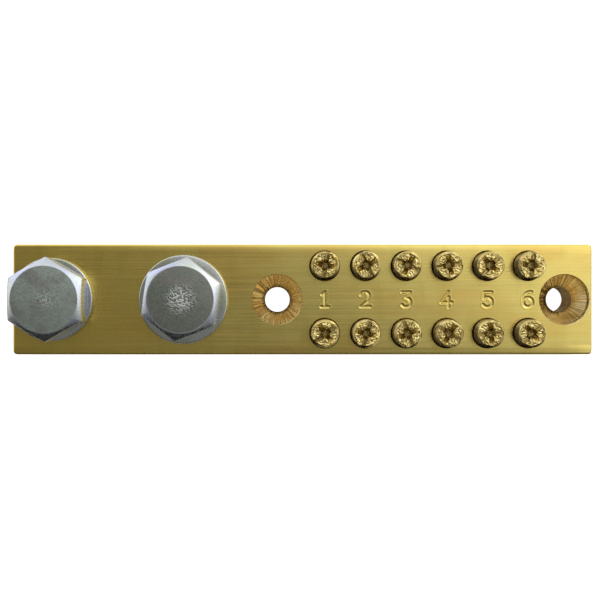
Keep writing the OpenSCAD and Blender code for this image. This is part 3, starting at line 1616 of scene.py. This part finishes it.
@dataclass
class Studio:
    """The white floor, the soft light and the camera above the bar."""

    camera_spot: Vector = field(default_factory=lambda: Vector((-4.1, -0.1, 185.0)) * MM)
    view_width: float = 108.75 * MM
    view_distance: float = 175.0 * MM
    side_shift: float = 3.63 * MM
    floor_size: float = 3.0
    key_power: float = 0.5
    panel_size: float = 0.6
    panel_height: float = 0.25
    panel_glow: Sequence[Point] = (
        (-0.3, 0.1), (-0.05, 0.18), (-0.012, 0.19), (0.005, 0.22), (0.015, 0.26), (0.025, 0.36),
        (0.036, 0.46), (0.0465, 0.56), (0.058, 0.74), (0.088, 1.0), (0.13, 1.15), (0.3, 1.15),
    )
    right_glow: Sequence[Point] = ((0.0, 0.05), (0.3, 0.1), (0.8, 0.65))
    rear_glow: Sequence[Point] = ((0.0, 0.0), (0.3, 0.1), (0.8, 0.8))
    left_glow: Sequence[Point] = ((0.0, 0.0), (0.5, 0.0), (0.8, 0.4), (0.92, 0.9))
    front_shade: Sequence[Point] = ((0.0, 1.0), (0.1, 1.0), (0.5, 0.3), (0.8, 0.08))

    def build(self) -> None:
        """Build the floor, the lights and the camera."""
        self._floor()
        self._panel()
        self._room()
        self._lamps()
        self._camera()
        bpy.context.scene.view_settings.view_transform = "Standard"

    def _floor(self) -> None:
        """Lay the pale floor, whose extra white shows to the eye but not in the metal."""
        bpy.ops.object.select_all(action="DESELECT")
        bpy.ops.mesh.primitive_plane_add(size=self.floor_size, location=(0, 0, 0))
        floor = bpy.context.object
        floor.name = "floor"
        material = bpy.data.materials.new("white_floor")
        material.use_nodes = True
        shader = material.node_tree.nodes["Principled BSDF"]
        shader.inputs["Base Color"].default_value = (0.9, 0.9, 0.9, 1)
        shader.inputs["Roughness"].default_value = 0.9
        shader.inputs["Emission Color"].default_value = (1, 1, 1, 1)
        seen = material.node_tree.nodes.new("ShaderNodeLightPath").outputs["Is Camera Ray"]
        material.node_tree.links.new(seen, shader.inputs["Emission Strength"])
        dress(floor, material)
        floor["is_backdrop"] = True

    def _panel(self) -> None:
        """Hang the wide soft panel overhead, brighter towards the right and the rear."""
        bpy.ops.object.select_all(action="DESELECT")
        spot = (0, 0, self.panel_height)
        bpy.ops.mesh.primitive_plane_add(size=self.panel_size, location=spot)
        panel = bpy.context.object
        panel.name = "soft_panel"
        panel.visible_camera = False
        panel.visible_shadow = False
        material = bpy.data.materials.new("panel_glow")
        material.use_nodes = True
        tree = material.node_tree
        shader = tree.nodes["Principled BSDF"]
        shader.inputs["Base Color"].default_value = (0, 0, 0, 1)
        shader.inputs["Emission Strength"].default_value = 1.0
        low, high = self.panel_glow[0][0], self.panel_glow[-1][0]
        stops = [((lean - low) / (high - low), glow) for lean, glow in self.panel_glow]
        place_on_panel = tree.nodes.new("ShaderNodeTexCoord").outputs["Object"]
        share = tree.nodes.new("ShaderNodeVectorMath")
        share.operation = "ADD"
        share.inputs[1].default_value = (-low * 0.6, -low * 0.8, 0)
        tree.links.new(place_on_panel, share.inputs[0])
        towards = (0.6 / (high - low), 0.8 / (high - low), 0)
        glow = self._ramp(tree, share.outputs[0], towards, stops)
        tree.links.new(glow, shader.inputs["Emission Color"])
        dress(panel, material)
        panel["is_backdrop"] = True

    def _room(self) -> None:
        """Make the room: bright at the rear, the right and the left, dark in front."""
        world = bpy.data.worlds.new("room")
        bpy.context.scene.world = world
        world.use_nodes = True
        tree = world.node_tree
        direction = tree.nodes.new("ShaderNodeTexCoord").outputs["Generated"]
        glow = self._ramp(tree, direction, (1, 0, 0), self.right_glow)
        for towards, stops in (
            ((0, 1, 0), self.rear_glow),
            ((-0.95, 0.3, 0), self.left_glow),
        ):
            more = tree.nodes.new("ShaderNodeVectorMath")
            tree.links.new(glow, more.inputs[0])
            tree.links.new(self._ramp(tree, direction, towards, stops), more.inputs[1])
            glow = more.outputs[0]
        front = self._ramp(tree, direction, (0, -1, 0), self.front_shade)
        shade = tree.nodes.new("ShaderNodeVectorMath")
        shade.operation = "MULTIPLY"
        tree.links.new(glow, shade.inputs[0])
        tree.links.new(front, shade.inputs[1])
        tree.links.new(shade.outputs[0], tree.nodes["Background"].inputs["Color"])

    def _ramp(
        self,
        tree: bpy.types.NodeTree,
        direction: bpy.types.NodeSocket,
        towards: Sequence[float],
        stops: Sequence[Point],
    ) -> bpy.types.NodeSocket:
        """Give a brightness that grows along one direction.

        Args:
            tree: The nodes of the world or of a material.
            direction: The direction or place that is looked up.
            towards: The way along which the brightness changes.
            stops: The distance along it, from 0 to 1, and the brightness there.

        Returns:
            The brightness.
        """
        dot = tree.nodes.new("ShaderNodeVectorMath")
        dot.operation = "DOT_PRODUCT"
        dot.inputs[1].default_value = towards
        tree.links.new(direction, dot.inputs[0])
        ramp = tree.nodes.new("ShaderNodeValToRGB")
        tree.links.new(dot.outputs["Value"], ramp.inputs["Fac"])
        elements = ramp.color_ramp.elements
        while len(elements) < len(stops):
            elements.new(0.5)
        for element, (lean, glow) in zip(elements, stops, strict=True):
            element.position = lean
            element.color = (glow, glow, glow, 1.0)
        return ramp.outputs["Color"]

    def _lamps(self) -> None:
        """Hang the soft lamp on the bright side."""
        self._lamp("key", Vector((0.32, 0.26, 0.34)), 0.2, self.key_power)

    def _lamp(self, name: str, spot: Vector, size: float, power: float) -> None:
        """Hang one square lamp that points at the bar."""
        bpy.ops.object.light_add(type="AREA", location=spot)
        lamp = bpy.context.object
        lamp.name = name
        lamp.rotation_euler = (-spot).to_track_quat("-Z", "Y").to_euler()
        lamp.data.size = size
        lamp.data.energy = power

    def _camera(self) -> None:
        """Hang the camera straight above the bar."""
        bpy.ops.object.camera_add(location=self.camera_spot, rotation=(0, 0, 0))
        camera = bpy.context.object
        camera.data.lens_unit = "FOV"
        camera.data.angle = 2 * math.atan(self.view_width / 2 / self.view_distance)
        camera.data.shift_x = self.side_shift / self.view_width
        camera.data.clip_start = 0.01
        bpy.context.scene.camera = camera


def main() -> None:
    """Build every piece around the frame and log each one."""
    pattern = "%(relativeCreated)d ms: %(message)s"
    logging.basicConfig(level=logging.INFO, format=pattern, stream=sys.stdout)
    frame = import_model()
    cad_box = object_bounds()
    record = frame["record"]
    finishes = Finishes(record)
    bolt_thread = Thread(4.0 * MM, 3.35 * MM, 1.25 * MM, 48)
    screw_thread = Thread(2.5 * MM, 2.08 * MM, 0.8 * MM, 40)
    bar = EarthBar(record)
    bar.build(bolt_thread, screw_thread, finishes)
    for side in Side:
        MainBolt(side, bolt_thread).build(finishes)
        Washer(side).build(finishes)
    ClampScrew(screw_thread).build_all(len(bar.ways()), finishes)
    Studio().build()
    boxes = {"cad": cad_box, "visual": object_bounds()}
    plain = {name: [list(corner) for corner in corners] for name, corners in boxes.items()}
    LOG.info("sizes: %s", plain)


if __name__ == "__main__":
    main()
